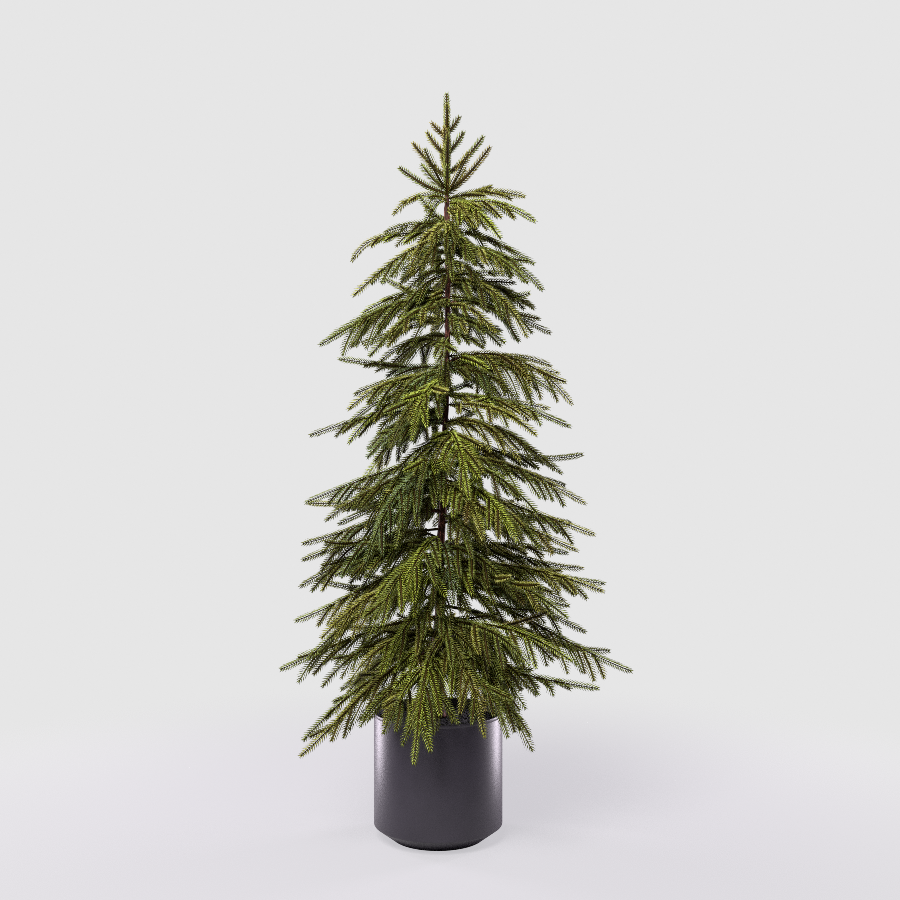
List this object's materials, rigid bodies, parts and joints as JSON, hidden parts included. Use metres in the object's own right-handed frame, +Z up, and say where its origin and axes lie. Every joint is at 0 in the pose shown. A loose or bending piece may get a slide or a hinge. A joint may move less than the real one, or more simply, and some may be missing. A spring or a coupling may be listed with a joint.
{
  "type": "artificial japanese cedar in a pot",
  "caption": "Slim conical artificial cedar: arching boughs of drooping feathery sprays round a bare trunk, standing in a plain dark cylindrical pot.",
  "frame": {"origin": "centre of the pot's flat underside, on the floor", "axes": "+Z up along the trunk, -Y towards the front of the tree, +X to its right, where the longest low bough reaches"},
  "size_m": [0.6978, 0.6065, 1.5],
  "materials": {
    "pot_plastic": "satin",
    "filling_grit": "matte",
    "bark": "matte",
    "foliage": "matte"
  },
  "bodies": {
    "root": {"bough_back_1": "bark", "bough_back_2": "bark", "bough_back_3": "bark", "bough_back_4": "bark", "bough_back_5": "bark", "bough_back_6": "bark", "bough_front_1": "bark", "bough_front_2": "bark", "bough_front_3": "bark", "bough_front_4": "bark", "bough_front_5": "bark", "bough_front_6": "bark", "bough_front_7": "bark", "bough_left_1": "bark", "bough_left_2": "bark", "bough_left_3": "bark", "bough_left_4": "bark", "bough_left_5": "bark", "bough_left_6": "bark", "bough_left_7": "bark", "bough_right_1": "bark", "bough_right_2": "bark", "bough_right_3": "bark", "bough_right_4": "bark", "bough_right_5": "bark", "bough_right_6": "bark", "bough_right_7": "bark", "bough_right_8": "bark", "filling": "filling_grit", "mass_back_1": "foliage", "mass_back_2": "foliage", "mass_back_3": "foliage", "mass_back_4": "foliage", "mass_back_5": "foliage", "mass_back_6": "foliage", "mass_front_1": "foliage", "mass_front_2": "foliage", "mass_front_3": "foliage", "mass_front_4": "foliage", "mass_front_5": "foliage", "mass_front_6": "foliage", "mass_front_7": "foliage", "mass_leader": "foliage", "mass_left_1": "foliage", "mass_left_2": "foliage", "mass_left_3": "foliage", "mass_left_4": "foliage", "mass_left_5": "foliage", "mass_left_6": "foliage", "mass_left_7": "foliage", "mass_right_1": "foliage", "mass_right_2": "foliage", "mass_right_3": "foliage", "mass_right_4": "foliage", "mass_right_5": "foliage", "mass_right_6": "foliage", "mass_right_7": "foliage", "mass_right_8": "foliage", "pot": "pot_plastic", "trunk": "bark"}
  },
  "joints": []
}
